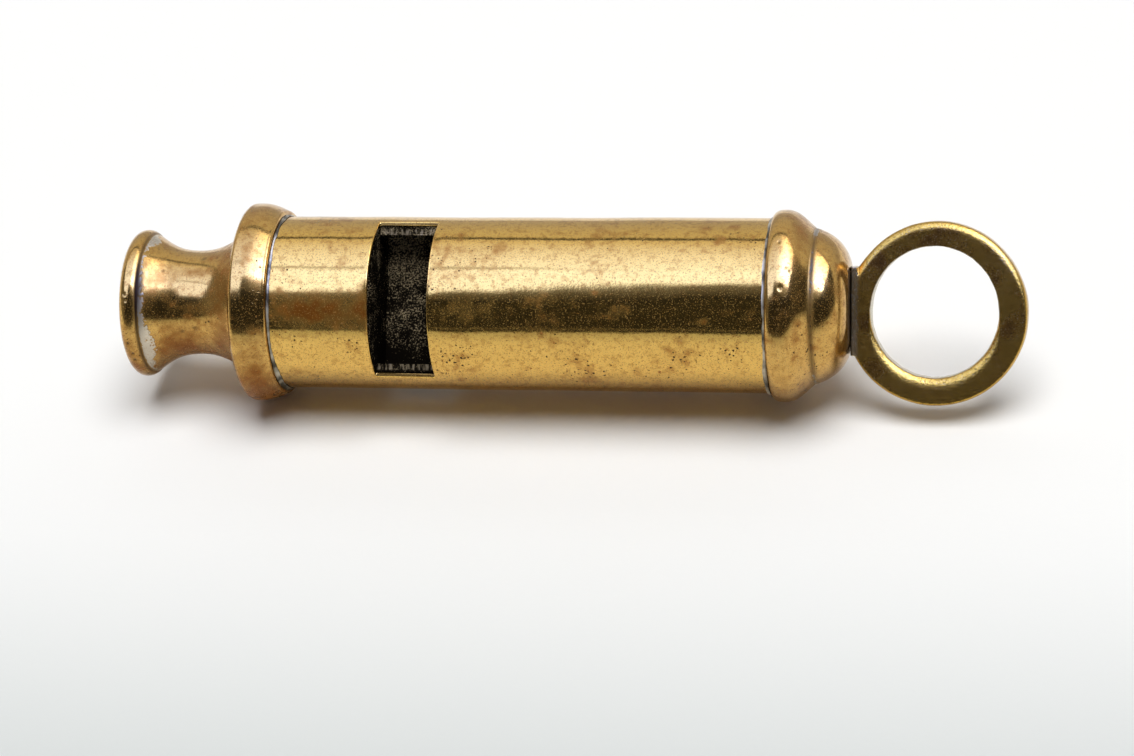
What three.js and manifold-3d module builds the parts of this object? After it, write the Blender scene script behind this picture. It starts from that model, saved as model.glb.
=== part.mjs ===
// Two-note tube whistle in brass, lying on its side as it rests on a table.
// Millimetres, +Z up. The axis runs along X, with the mouthpiece at -X and the hanging ring at +X.
// Every piece is drawn in a frame of its own: X along the whistle's axis, Z out of the front window.
import * as THREE from "three";
import { mergeVertices } from "three/addons/utils/BufferGeometryUtils.js";
import Module from "manifold-3d";

const degrees = Math.PI / 180;

// Barrel: a drawn tube with a window milled across its front and another across its back.
const barrelDiameter = 15.9;
const barrelWall = 0.35;
const barrelShown = 45.5; // bare tube from the collar's rim to the cap's rim
const windowFromRim = 9.35; // collar's rim to the near edge of the windows
const windowWidth = 5.55;
const windowDepth = 4.4; // from the tube's crown down to the milled plane

// Mouthpiece: rolled lip, waisted neck, and the collar that takes the barrel.
const lipDiameter = 13.7;
const lipBead = 0.96; // radius of the rolled bead
const lipWrap = 52 * degrees; // how far the bead rolls round behind the lip
const waistDiameter = 9.66;
const waistFromLip = 6.2;
const neckLength = 10.9; // lip's end to the corner between neck and collar
const neckFlare = 1.75; // rise of the neck from its waist to that corner
const boreDiameter = 8.0;
const boreFlare = 2.4; // length of the flare inside the lip
const collarLength = 3.7;
const collarCrestRise = 1.23; // of the collar's crest above the barrel
const collarCrestFromRim = 2.85;
const collarLand = 0.5; // straight stretch on the crest, which the whistle lies on
const collarRimRise = 0.6;
const collarRimRound = 0.3;
const collarSocket = 2.6; // depth that the barrel goes in
const throatWidth = 11.6; // of the throat at the socket's floor
const throatDepth = 1.7;

// Cap: beaded rim, crease and a domed shoulder with a flat end.
const capLength = 6.9;
const capBeadRise = 0.76; // of the bead above the barrel
const capBeadFromRim = 0.92;
const capRimRise = 0.3;
const capCreaseFromRim = 3.7;
const capCreaseDepth = 0.9; // of the crease below the barrel's surface
const capEndDiameter = 7.4;
const capWall = 0.6;
const capEndWall = 0.8;
const capSocket = 1.7; // depth that the barrel goes in

// Hanging ring with a flat foot, and a shank that is riveted over a washer inside the cap.
const eyeDiameter = 11.8;
const ringWidth = 2.27; // across the band, from the eye to the outside
const ringThickness = 2.6;
const ringRound = 0.5;
const ringSink = 0.65; // how far the outer circle is cut away where the foot takes over
const ringOffset = 0.4; // the ring was soldered on a little low
const footHeight = 8.0;
const footThickness = 0.6;
const shankDiameter = 3.0;
const rivetHeadDiameter = 4.2;
const rivetHeadThickness = 0.7;
const washerDiameter = 5.6;
const washerThickness = 0.6;

// Voice: wind plug, divider and the two chamber stops.
const plugInset = 0.35; // from the barrel's start to the plug
const windwayDepth = 1.3; // from the barrel's inner wall to the plug's flat
const dividerThickness = 0.8;
const flangeThickness = 0.6;
const flangeWrap = 42 * degrees; // from the middle plane along the barrel's wall
const dividerInset = 0.3; // from the barrel's end
const lowStopInset = 1.0; // barrel's end to the stop of the longer, back chamber
const stopStagger = 4.0; // the front chamber is shorter by this much, which gives the second note
const stopThickness = 0.8;

// How full the turned curves are: shares of the run or rise that each of them spans.
const neckLean = 0.22; // how steeply the neck falls away from the lip's crease
const neckLead = 0.3;
const waistLead = 0.48;
const flareLead = 0.45;
const flareSwell = 0.56;
const flareTail = 0.25;
const collarSquareness = 0.7; // of the collar's back; 0.55 would be a plain quarter round
const crestLead = 0.5;
const beadLead = 0.4;
const beadSwell = 0.7;
const beadTail = 0.55;
const shoulderLean = 0.08;
const shoulderLead = 0.35;
const domeSwell = 0.65;
const domeTail = 0.1;
const hollowEase = 0.4; // of the cap's inner corner, in wall thicknesses
const seamHollow = 0.2; // 0.5 would be a straight fillet

// Fits
const solderGap = 0.1; // all round a soldered joint
const seatGap = 0.1; // end to end, where one piece seats on another
const seamLength = 0.45; // solder fillet along the barrel
const seamRise = 0.32;

// How it lies: a flat of the collar faces down, and the front window looks up at a slant.
const windowTurn = 52.5 * degrees; // front window away from straight up
const ringTurn = 8 * degrees; // the ring is not quite square with the window
const facets = 48; // flats round every turned piece
const ringFacets = 64;
const facetPhase = Math.PI - windowTurn + Math.PI / facets;
const cutOver = 1; // how far a cutter runs past what it cuts

// Worked out from the sizes above. Stations run along the axis from the lip's end.
const barrelRadius = barrelDiameter / 2;
const barrelInner = barrelRadius - barrelWall;
const socketRadius = barrelRadius + solderGap;
const windowFlat = barrelRadius - windowDepth;
const collarRadius = barrelRadius + collarCrestRise;
const collarRim = neckLength + collarLength;
const barrelStart = collarRim - collarSocket + seatGap;
const windowStart = collarRim + windowFromRim;
const plugStart = barrelStart + plugInset;
const plugLength = windowStart - plugStart;
const capRim = collarRim + barrelShown;
const barrelEnd = capRim + capSocket - seatGap;
const capEnd = capRim + capLength;
const ringRadius = eyeDiameter / 2 + ringWidth;
const ringCentre = seatGap + ringRadius - ringSink;
const overallLength = capEnd + ringCentre + ringRadius;
const fitRadius = barrelInner - solderGap;
const lowStopEnd = barrelEnd - lowStopInset;
const highStopStart = lowStopEnd - stopThickness - stopStagger;
const dividerEnd = barrelEnd - dividerInset;

const wasm = await Module();
wasm.setup();

// A closed geometry as a solid that can be joined and cut.
function solidOf(geometry) {
  const bare = geometry.clone();
  bare.deleteAttribute("normal");
  bare.deleteAttribute("uv");
  const merged = mergeVertices(bare);
  return new wasm.Manifold(
    new wasm.Mesh({
      numProp: 3,
      vertProperties: new Float32Array(merged.attributes.position.array),
      triVerts: new Uint32Array(merged.index.array),
    }),
  );
}

// A solid back as a geometry.
function geometryOf(solid) {
  const { vertProperties, triVerts } = solid.getMesh();
  const geometry = new THREE.BufferGeometry();
  geometry.setAttribute("position", new THREE.BufferAttribute(vertProperties, 3));
  geometry.setIndex(new THREE.BufferAttribute(triVerts, 1));
  geometry.computeVertexNormals();
  return geometry;
}

// A closed profile, drawn as (radius, station), turned about the X axis.
function turned(profile, curveSteps = 4) {
  const points = profile.getPoints(curveSteps);
  return new THREE.LatheGeometry(points, facets, facetPhase).rotateZ(-Math.PI / 2);
}

// A section in the (Y, Z) plane, drawn out along +X.
function drawn(section, length) {
  const alongX = new THREE.Matrix4().makeBasis(
    new THREE.Vector3(0, 1, 0),
    new THREE.Vector3(0, 0, 1),
    new THREE.Vector3(1, 0, 0),
  );
  const settings = { depth: length, bevelEnabled: false, curveSegments: 10 };
  return new THREE.ExtrudeGeometry(section, settings).applyMatrix4(alongX);
}

// A plain ring of rectangular section about the X axis.
function tube(inner, outer, start, end) {
  const profile = new THREE.Path();
  profile.moveTo(inner, start);
  profile.lineTo(outer, start);
  profile.lineTo(outer, end);
  profile.lineTo(inner, end);
  profile.lineTo(inner, start);
  return turned(profile);
}

// A round bar along the X axis.
function bar(diameter, start, end) {
  const cylinder = new THREE.CylinderGeometry(diameter / 2, diameter / 2, end - start, facets / 2);
  return cylinder.rotateZ(Math.PI / 2).translate((start + end) / 2, 0, 0);
}

// The milling cutter's path through the front or the back window, from the station where it starts.
function windowCut(start, side) {
  const height = windowDepth + cutOver;
  const across = barrelDiameter + 2 * cutOver;
  const cut = new THREE.BoxGeometry(windowWidth, across, height);
  cut.translate(start + windowWidth / 2, 0, side * (windowFlat + height / 2));
  return solidOf(cut);
}

function mouthpiece() {
  const lipRadius = lipDiameter / 2;
  const beadCentre = lipRadius - lipBead;
  const crease = lipBead * (1 + Math.sin(lipWrap));
  const creaseRadius = beadCentre + lipBead * Math.cos(lipWrap);
  const waist = waistDiameter / 2;
  const corner = waist + neckFlare;
  const crest = collarRim - collarCrestFromRim;
  const rimRadius = barrelRadius + collarRimRise;
  const floor = collarRim - collarSocket;
  const bore = boreDiameter / 2;
  const neckRun = waistFromLip - crease;
  const flareRun = neckLength - waistFromLip;
  const profile = new THREE.Path();
  profile.moveTo(beadCentre, 0);
  profile.absarc(beadCentre, lipBead, lipBead, -Math.PI / 2, lipWrap, false);
  profile.bezierCurveTo(
    creaseRadius - neckLean * neckRun, crease + neckLead * neckRun,
    waist, waistFromLip - waistLead * neckRun,
    waist, waistFromLip,
  );
  profile.bezierCurveTo(
    waist, waistFromLip + flareLead * flareRun,
    waist + flareSwell * neckFlare, neckLength - flareTail * flareRun,
    corner, neckLength,
  );
  profile.bezierCurveTo(
    corner + collarSquareness * (collarRadius - corner), neckLength,
    collarRadius, crest - collarSquareness * (crest - neckLength),
    collarRadius, crest,
  );
  profile.lineTo(collarRadius, crest + collarLand);
  profile.quadraticCurveTo(
    collarRadius, crest + crestLead * collarCrestFromRim,
    rimRadius, collarRim - collarRimRound,
  );
  profile.lineTo(rimRadius - collarRimRound, collarRim);
  profile.lineTo(socketRadius, collarRim);
  profile.lineTo(socketRadius, floor);
  profile.lineTo(throatWidth / 2, floor);
  profile.lineTo(bore, floor - throatDepth);
  profile.lineTo(bore, boreFlare);
  profile.quadraticCurveTo(bore, 0, beadCentre, 0);
  return turned(profile);
}

function barrel() {
  const length = barrelEnd - barrelStart;
  const start = windowStart - barrelStart;
  let solid = solidOf(tube(barrelInner, barrelRadius, 0, length));
  for (const side of [1, -1]) {
    solid = solid.subtract(windowCut(start, side));
  }
  return geometryOf(solid);
}

// Round block with two flats. Its far end is flush with the near edge of the windows.
function windPlug() {
  const flat = barrelInner - windwayDepth;
  const block = solidOf(bar(2 * fitRadius, 0, plugLength));
  const slab = new THREE.BoxGeometry(plugLength + 2 * cutOver, barrelDiameter, 2 * flat);
  slab.translate(plugLength / 2, 0, 0);
  return geometryOf(block.intersect(solidOf(slab)));
}

// Plate on the middle plane with flanges that lie along the barrel's wall, milled with the windows.
function divider() {
  const half = dividerThickness / 2;
  const inner = fitRadius - flangeThickness;
  const foot = Math.asin(half / inner);
  const section = new THREE.Shape();
  for (const turn of [0, Math.PI]) {
    section.absarc(0, 0, fitRadius, turn - flangeWrap, turn + flangeWrap, false);
    section.absarc(0, 0, inner, turn + flangeWrap, turn + foot, true);
    section.absarc(0, 0, inner, turn + Math.PI - foot, turn + Math.PI - flangeWrap, true);
  }
  const start = windowStart + seatGap;
  let solid = solidOf(drawn(section, dividerEnd - start));
  for (const side of [1, -1]) {
    solid = solid.subtract(windowCut(windowStart - start, side));
  }
  return geometryOf(solid);
}

// Half disc that fills one chamber: between the flanges below, and out to the barrel's wall above them.
function chamberStop() {
  const narrow = fitRadius - flangeThickness - solderGap;
  const foot = Math.asin((dividerThickness / 2 + solderGap) / narrow);
  const step = flangeWrap + solderGap / narrow;
  const section = new THREE.Shape();
  section.absarc(0, 0, narrow, foot, step, false);
  section.absarc(0, 0, fitRadius, step, Math.PI - step, false);
  section.absarc(0, 0, narrow, Math.PI - step, Math.PI - foot, false);
  return drawn(section, stopThickness);
}

// Solder fillet in the corner between a rim and the barrel, hollow towards the outside.
function seam() {
  const inner = barrelRadius + solderGap / 2;
  const profile = new THREE.Path();
  profile.moveTo(inner, 0);
  profile.lineTo(inner + seamRise, 0);
  profile.quadraticCurveTo(inner + seamHollow * seamRise, seamHollow * seamLength, inner, seamLength);
  profile.lineTo(inner, 0);
  return turned(profile);
}

function cap() {
  const beadRadius = barrelRadius + capBeadRise;
  const rimRadius = barrelRadius + capRimRise;
  const creaseRadius = barrelRadius - capCreaseDepth;
  const endRadius = capEndDiameter / 2;
  const fall = capCreaseFromRim - capBeadFromRim;
  const dome = capLength - capCreaseFromRim;
  const hole = shankDiameter / 2 + solderGap;
  const hollow = creaseRadius - capWall;
  const innerEnd = capLength - capEndWall;
  const profile = new THREE.Path();
  profile.moveTo(socketRadius, 0);
  profile.lineTo(rimRadius, 0);
  profile.absellipse(
    rimRadius, capBeadFromRim, beadRadius - rimRadius, capBeadFromRim, -Math.PI / 2, 0, false, 0,
  );
  profile.bezierCurveTo(
    beadRadius, capBeadFromRim + beadLead * fall,
    creaseRadius + beadSwell * (beadRadius - creaseRadius), capBeadFromRim + beadTail * fall,
    creaseRadius, capCreaseFromRim,
  );
  profile.bezierCurveTo(
    creaseRadius - shoulderLean * dome, capCreaseFromRim + shoulderLead * dome,
    endRadius + domeSwell * (creaseRadius - endRadius), capLength - domeTail * dome,
    endRadius, capLength,
  );
  profile.lineTo(hole, capLength);
  profile.lineTo(hole, innerEnd);
  profile.lineTo(endRadius - capWall, innerEnd);
  profile.quadraticCurveTo(
    hollow - hollowEase * capWall, innerEnd - hollowEase * capWall,
    hollow, capCreaseFromRim,
  );
  profile.lineTo(hollow, capSocket);
  profile.lineTo(socketRadius, capSocket);
  profile.lineTo(socketRadius, 0);
  return turned(profile);
}

// Ring, foot, shank and rivet head in one piece. X = 0 is the cap's flat end, Z is square to the ring.
function ring() {
  const inner = eyeDiameter / 2 + ringRound;
  const outer = ringRadius - ringRound;
  const side = ringThickness / 2 - ringRound;
  const band = new THREE.Path();
  band.absarc(outer, -side, ringRound, -Math.PI / 2, 0, false);
  band.absarc(outer, side, ringRound, 0, Math.PI / 2, false);
  band.absarc(inner, side, ringRound, Math.PI / 2, Math.PI, false);
  band.absarc(inner, -side, ringRound, Math.PI, 1.5 * Math.PI, false);
  band.lineTo(outer, -side - ringRound);
  const hoop = new THREE.LatheGeometry(band.getPoints(2), ringFacets).rotateX(Math.PI / 2);
  const behind = new THREE.BoxGeometry(ringRadius, 2 * ringRadius, 2 * ringThickness);
  const foot = new THREE.BoxGeometry(footThickness, footHeight, ringThickness);
  const headStart = capEndWall + washerThickness + 2 * seatGap;
  const shank = bar(shankDiameter, -headStart - rivetHeadThickness / 2, seatGap + footThickness / 2);
  const head = bar(rivetHeadDiameter, -headStart - rivetHeadThickness, -headStart);
  const solid = solidOf(hoop.translate(ringCentre, -ringOffset, 0))
    .subtract(solidOf(behind.translate(seatGap - ringRadius / 2, -ringOffset, 0)))
    .add(solidOf(foot.translate(seatGap + footThickness / 2, -ringOffset, 0)))
    .add(solidOf(shank))
    .add(solidOf(head));
  return geometryOf(solid);
}

function ringWasher() {
  return tube(shankDiameter / 2 + solderGap, washerDiameter / 2, -washerThickness, 0);
}

const wornBrass = { color: 0xb08a3e, roughness: 0.3, metalness: 1 };
const darkBrass = { color: 0x4a3f2c, roughness: 0.6, metalness: 1 };
const ringBrass = { color: 0x8c6d2c, roughness: 0.4, metalness: 1 };
const solder = { color: 0xa9adb2, roughness: 0.5, metalness: 1 };

function piece(name, geometry, finish, station = 0) {
  const mesh = new THREE.Mesh(geometry, new THREE.MeshStandardMaterial(finish));
  mesh.name = name;
  mesh.position.x = station;
  return mesh;
}

const voice = new THREE.Group();
const highStop = piece("high_stop", chamberStop(), darkBrass, highStopStart);
const lowStop = piece("low_stop", chamberStop(), darkBrass, lowStopEnd);
lowStop.rotation.y = Math.PI; // turned over into the back chamber
voice.add(
  piece("wind_plug", windPlug(), darkBrass, plugStart),
  piece("divider", divider(), darkBrass, windowStart + seatGap),
  highStop,
  lowStop,
);

const head = new THREE.Group();
const washerStation = -capEndWall - seatGap;
head.position.x = capEnd;
head.rotation.x = ringTurn;
head.add(
  piece("ring", ring(), ringBrass),
  piece("ring_washer", ringWasher(), darkBrass, washerStation),
);

const capSeam = piece("cap_seam", seam(), solder, capRim - seatGap / 2);
capSeam.rotation.y = Math.PI; // its thick side is against the cap

const whistle = new THREE.Group();
whistle.add(
  piece("mouthpiece", mouthpiece(), wornBrass),
  piece("collar_seam", seam(), solder, collarRim + seatGap / 2),
  piece("barrel", barrel(), wornBrass, barrelStart),
  voice,
  capSeam,
  piece("cap", cap(), wornBrass, capRim),
  head,
);
whistle.rotation.x = windowTurn;
whistle.position.set(-overallLength / 2, 0, collarRadius * Math.cos(Math.PI / facets));

const part = new THREE.Group();
part.add(whistle);
export default part;
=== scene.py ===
import math

import bmesh
import bpy
import numpy as np
from mathutils import Matrix, Quaternion, Vector, noise


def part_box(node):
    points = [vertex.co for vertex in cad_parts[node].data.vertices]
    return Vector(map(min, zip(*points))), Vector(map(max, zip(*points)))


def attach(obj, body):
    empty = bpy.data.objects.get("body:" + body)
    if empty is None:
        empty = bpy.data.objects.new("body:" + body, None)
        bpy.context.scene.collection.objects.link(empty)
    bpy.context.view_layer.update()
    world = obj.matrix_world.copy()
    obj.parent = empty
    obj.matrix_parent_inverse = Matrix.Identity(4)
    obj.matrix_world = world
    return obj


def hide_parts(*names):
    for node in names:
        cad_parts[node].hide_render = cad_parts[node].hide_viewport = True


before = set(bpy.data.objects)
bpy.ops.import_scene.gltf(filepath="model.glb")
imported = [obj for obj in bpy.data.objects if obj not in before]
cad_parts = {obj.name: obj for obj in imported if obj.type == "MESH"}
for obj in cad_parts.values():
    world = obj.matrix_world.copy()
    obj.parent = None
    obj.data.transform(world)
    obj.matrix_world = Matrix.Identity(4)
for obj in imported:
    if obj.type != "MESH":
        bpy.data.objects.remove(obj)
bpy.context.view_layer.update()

bl_info = {
    "name": "Two-note brass whistle",
    "version": (1, 0, 0),
    "blender": (4, 5, 0),
    "location": "3D View > Sidebar > Whistle",
    "description": "Builds the worn brass surfaces of a tube whistle round its solids",
    "category": "Add Mesh",
}

MM = 0.001

# Where the solids are. Stations run along +X from the lip's end.
LIP_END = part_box("mouthpiece")[0].x
AXIS_HEIGHT = sum(corner.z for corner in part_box("barrel")) / 2
COLLAR_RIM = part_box("mouthpiece")[1].x - LIP_END
BARREL_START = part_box("barrel")[0].x - LIP_END
BARREL_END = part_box("barrel")[1].x - LIP_END
CAP_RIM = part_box("cap")[0].x - LIP_END
CAP_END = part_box("cap")[1].x - LIP_END

# How finely the surfaces are drawn
TURN_STEPS = 480
CURVE_STEPS = 28
BEAD_STEPS = 40
NECK_STEPS = 44
EDGE_STEPS = 8
SEAM_STEPS = 12
SEAM_STEP = 0.06 * MM
TUBE_STEP = 0.5 * MM
WINDOW_STEPS = 84
WINDOW_ROWS = 14
PRESS_ROWS = 7
SIDE_STEPS = 40
RING_STEPS = 200
ROUND_STEPS = 10
SHANK_SIDES = 40
CREASE_ANGLE = math.radians(38)
BEVEL_ANGLE = math.radians(50)
SAME_POINT = 0.001 * MM
SAME_STATION = 1e-9

# How full the turned curves are: shares of the run or rise that each of them spans
NECK_LEAN, NECK_LEAD, WAIST_LEAD = 0.22, 0.3, 0.48
FLARE_LEAD, FLARE_SWELL, FLARE_TAIL = 0.45, 0.56, 0.25
COLLAR_SQUARENESS, CREST_LEAD = 0.7, 0.5
BEAD_LEAD, BEAD_SWELL, BEAD_TAIL = 0.4, 0.7, 0.55
SHOULDER_LEAN, SHOULDER_LEAD = 0.08, 0.35
DOME_SWELL, DOME_TAIL = 0.65, 0.1
HOLLOW_EASE, SEAM_HOLLOW = 0.4, 0.2

# How fast the pressing fades, where the tube is held, and the softening of the inner pieces
PRESS_FADE = 0.35
HELD = 3 * MM
VOICE_EDGE = 0.06 * MM

# Faces between the two skins of the tube. A corner is (skin, steps along, steps round), with skin 0
# outside. The walls close the tube where the next cell in that direction is missing.
SKINS = (
    ((0, 0, 0), (0, 1, 0), (0, 1, 1), (0, 0, 1)),
    ((1, 0, 0), (1, 0, 1), (1, 1, 1), (1, 1, 0)),
)
WALLS = {
    (0, 1): ((0, 0, 1), (0, 1, 1), (1, 1, 1), (1, 0, 1)),
    (0, -1): ((0, 0, 0), (1, 0, 0), (1, 1, 0), (0, 1, 0)),
    (1, 0): ((0, 1, 0), (1, 1, 0), (1, 1, 1), (0, 1, 1)),
    (-1, 0): ((0, 0, 0), (0, 0, 1), (1, 0, 1), (1, 0, 0)),
}

# Chains of nodes. Films go over a colour, as (how much of it shows, its colour), and terms are added to a
# value, as (value, weight). The last socket takes the result so far.
MIX_FACTOR, MIX_A, MIX_B, MIX_RESULT = 0, 6, 7, 2
FILMS = {"kind": "Mix", "sockets": (MIX_FACTOR, MIX_B, MIX_A), "out": MIX_RESULT, "data_type": "RGBA"}
TERMS = {"kind": "Math", "sockets": (0, 1, 2), "operation": "MULTIPLY_ADD"}

# The stage
SENSOR_WIDTH = 36
FILL_SPREAD = math.radians(48)
FILL_WAY = (-0.08, 0.08, -1)
FLOOR_HALF = 1500
# Painted reflection: the dark room, laid on the floor where only the metal sees it
DARK_ROOM_REFLECTION = (0.02, 0.02, 0.02, 1)
WHITE = (1, 1, 1, 1)


def linear(hex_colour):
    """An sRGB hex colour as linear red, green, blue and alpha."""
    parts = [int(hex_colour[i:i + 2], 16) / 255 for i in (0, 2, 4)]
    return [p / 12.92 if p <= 0.04045 else ((p + 0.055) / 1.055) ** 2.4 for p in parts] + [1.0]


def length(name, millimetres, description):
    """A property that holds a length."""
    return bpy.props.FloatProperty(
        name=name, description=description, default=millimetres * MM, unit="LENGTH", subtype="DISTANCE"
    )


def angle(name, degrees, description):
    """A property that holds an angle."""
    return bpy.props.FloatProperty(
        name=name, description=description, default=math.radians(degrees), subtype="ANGLE"
    )


def number(name, value, description):
    """A property that holds a plain number."""
    return bpy.props.FloatProperty(name=name, description=description, default=value)


def colour(name, hex_colour, description):
    """A property that holds a colour."""
    return bpy.props.FloatVectorProperty(
        name=name, description=description, default=linear(hex_colour), size=4, min=0, max=1, subtype="COLOR"
    )


class MouthpieceSizes(bpy.types.PropertyGroup):
    """Sizes of the turned mouthpiece."""

    lip: length("Lip", 13.7, "Diameter over the rolled lip")
    bead: length("Bead", 0.96, "Radius of the rolled bead on the lip")
    wrap: angle("Bead wrap", 52, "How far the bead rolls round behind the lip")
    waist: length("Waist", 9.66, "Diameter of the neck at its narrowest")
    waist_at: length("Waist station", 6.2, "From the lip's end to the waist")
    neck: length("Neck", 10.9, "From the lip's end to the corner at the collar")
    flare: length("Flare", 1.75, "Rise of the neck from its waist to that corner")
    collar: length("Collar", 18.32, "Diameter over the collar's crest")
    crest: length("Crest", 2.85, "From the collar's rim back to its crest")
    land: length("Land", 0.5, "Straight stretch on the crest")
    rim: length("Rim", 17.1, "Diameter of the collar at its rim")
    rim_round: length("Rim round", 0.3, "Radius on the rim's edge")
    socket: length("Socket", 2.6, "Depth that the barrel goes in")
    throat: length("Throat", 11.6, "Width of the throat at the socket's floor")
    throat_depth: length("Throat depth", 1.7, "Length of the throat's taper")
    bore: length("Bore", 8.0, "Diameter of the bore")
    bore_flare: length("Bore flare", 2.4, "Length of the flare inside the lip")
    droop: length("Droop", 0.25, "How far the lip is bent down")


class BarrelSizes(bpy.types.PropertyGroup):
    """Sizes of the drawn barrel and of what is soldered to it."""

    diameter: length("Barrel", 15.9, "Outside of the tube")
    wall: length("Wall", 0.35, "Thickness of the tube's wall")
    window_at: length("Window station", 9.35, "From the collar's rim to the window")
    window: length("Window", 5.55, "Length of the window along the tube")
    window_depth: length("Window depth", 4.4, "From the tube's crown down to the milled plane")
    window_tilt: angle("Window tilt", 37.5, "How far the front window looks up from level")
    edge: length("Edge", 0.09, "Softening of the milled edges")
    press: length("Press", 0.08, "How far the window's edges are pressed in")
    press_reach: length("Press reach", 0.7, "How far along the tube that pressing fades out")
    waviness: length("Waviness", 0.05, "Slow ripple of the tube, which bends its reflections")
    seam: length("Seam", 0.42, "Length of the solder fillets along the tube")
    seam_rise: length("Seam rise", 0.32, "Height of the solder fillets")
    clearance: length("Clearance", 0.1, "Gap round the tube in its sockets")


class CapSizes(bpy.types.PropertyGroup):
    """Sizes of the spun cap."""

    bead: length("Bead", 17.42, "Diameter over the beaded rim")
    bead_at: length("Bead station", 0.92, "From the rim to the top of the bead")
    rim: length("Rim", 16.5, "Diameter at the rim")
    crease: length("Crease", 14.1, "Diameter in the crease")
    crease_at: length("Crease station", 3.7, "From the rim to the crease")
    end: length("End", 7.4, "Diameter of the flat end")
    wall: length("Wall", 0.6, "Thickness of the cap's wall")
    end_wall: length("End wall", 0.8, "Thickness of the cap's end")
    socket: length("Socket", 1.7, "Depth that the barrel goes in")


class RingSizes(bpy.types.PropertyGroup):
    """Sizes of the cast hanging ring."""

    eye: length("Eye", 11.8, "Diameter of the hole")
    band: length("Band", 2.27, "Width of the band")
    thickness: length("Thickness", 2.6, "Thickness of the band")
    edge: length("Edge", 0.5, "Radius on the band's edges")
    sink: length("Sink", 0.65, "How far the band is cut away at the foot")
    seat: length("Seat", 0.02, "Gap between the foot and the cap")
    offset: length("Offset", 0.4, "How far the ring sits below the axis")
    foot: length("Foot", 8.0, "Length of the foot across the cap's end")
    foot_thickness: length("Foot thickness", 0.6, "Thickness of the foot")
    shank: length("Shank", 2.5, "Diameter of the shank through the cap")
    head: length("Rivet head", 4.2, "Diameter of the riveted head")
    head_thickness: length("Head thickness", 0.7, "Thickness of the riveted head")
    head_at: length("Head station", 1.6, "From the cap's end in to the riveted head")
    tilt: angle("Tilt", 29.5, "How far the ring's face looks up from level")
    shrink: length("Shrink", 0.3, "How much thinner the band was cast beside the foot")
    swell: length("Swell", 0.28, "How much thicker the band was cast below")
    grain: length("Grain", 0.08, "Size of the steps that fuse ring and foot")


class WhistleColours(bpy.types.PropertyGroup):
    """Colours of the metals and of the stage."""

    gold: colour("Gold", "DDB460", "Polished brass of the barrel")
    bronze: colour("Bronze", "CAA25A", "Polished brass of the mouthpiece and the cap")
    brown: colour("Brown", "8A551E", "Brown toning on handled brass")
    rust: colour("Rust", "9C662C", "Orange-brown corrosion stains")
    mote: colour("Mote", "B08A58", "Pale dust that clings to the brass")
    # The pit colour is also the painted shade in creases
    pit: colour("Pit", "24160B", "Dirt in pits and creases")
    nickel: colour("Nickel", "CEC3AE", "Nickel plate left in the creases")
    solder: colour("Solder", "BFB69F", "Tin solder where it is bright")
    dull_solder: colour("Dull solder", "4A4232", "Tin solder where it is dull")
    ring_gold: colour("Ring gold", "D2A748", "Cast brass of the ring")
    ring_brown: colour("Ring brown", "68491A", "Olive brown toning of the ring")
    # Also the painted shade in the gap between the ring's foot and the cap
    soot_and_shade: colour("Soot", "120F0B", "Tarnish inside the windows")
    dust: colour("Dust", "AC9B7C", "Grit that lies on the tarnish")
    floor: colour("Floor", "FDFDFC", "Matt white vinyl")
    # Painted shade: the vinyl greyed near the viewer where the light falls off
    floor_front_shade: colour("Floor front", "D0D5D4", "The same vinyl near the viewer, where it greys")
    cloth: colour("Cloth", "A4B7FF", "Softbox at its bright front, cool against the warm metal")
    cloth_rear: colour("Cloth rear", "EFF1FF", "Softbox at its dim rear")


class StageSettings(bpy.types.PropertyGroup):
    """Camera and light."""

    azimuth: angle("Azimuth", 12.32, "Camera's turn towards +X")
    elevation: angle("Elevation", 31.93, "Camera's height above the horizon")
    distance: length("Distance", 291.8, "From the camera to the middle of the whistle's axis")
    roll: angle("Roll", -6.27, "Camera's roll")
    aim_x: length("Aim X", 1.475, "Where the camera looks at the level of the axis, along the whistle")
    aim_y: length("Aim Y", -12.14, "Where the camera looks at the level of the axis, across the whistle")
    lens: number("Lens", 101.05, "Focal length in millimetres on a 36 mm wide sensor")
    light_height: length("Light height", 300, "Height of the softbox above the floor")
    light: number("Light", 4.6, "Radiance of the softbox at its bright front")
    light_rear: number("Light rear", 1.1, "Radiance of the softbox at its dim rear")
    fill: number("Fill", 2.72, "Strength of the light that falls on the floor")


GROUPS = {
    "mouthpiece": MouthpieceSizes,
    "barrel": BarrelSizes,
    "cap": CapSizes,
    "ring": RingSizes,
    "colours": WhistleColours,
    "stage": StageSettings,
}


def values(group):
    """One property group of the scene, by its short name."""
    return getattr(bpy.context.scene, "whistle_" + group)


def curve(*points, steps=CURVE_STEPS):
    """Points (station, radius) along a Bezier curve of any order."""
    t = np.linspace(0, 1, steps)[:, None]
    order = len(points) - 1
    weights = [math.comb(order, i) * t ** i * (1 - t) ** (order - i) for i in range(order + 1)]
    return sum(w * np.array(p) for w, p in zip(weights, points))


def arc(station, radius, size, start, end, steps=CURVE_STEPS):
    """Points on an arc of that size. Angle 0 points away from the axis, and 90 degrees along +X."""
    turn = np.linspace(start, end, steps)
    return np.stack([station + size * np.sin(turn), radius + size * np.cos(turn)], axis=1)


def straight(*points, step=0.4 * MM):
    """Points along straight lines, about one step apart."""
    runs = []
    for a, b in zip(points[:-1], points[1:]):
        runs.append(np.linspace(a, b, max(2, int(math.dist(a, b) / step) + 1)))
    return np.concatenate(runs)


def closed(*runs):
    """One closed outline from several runs of points, without doubled points."""
    points = np.concatenate(runs)
    ahead = np.roll(points, -1, axis=0)
    return points[np.linalg.norm(points - ahead, axis=1) > SAME_POINT]


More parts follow.
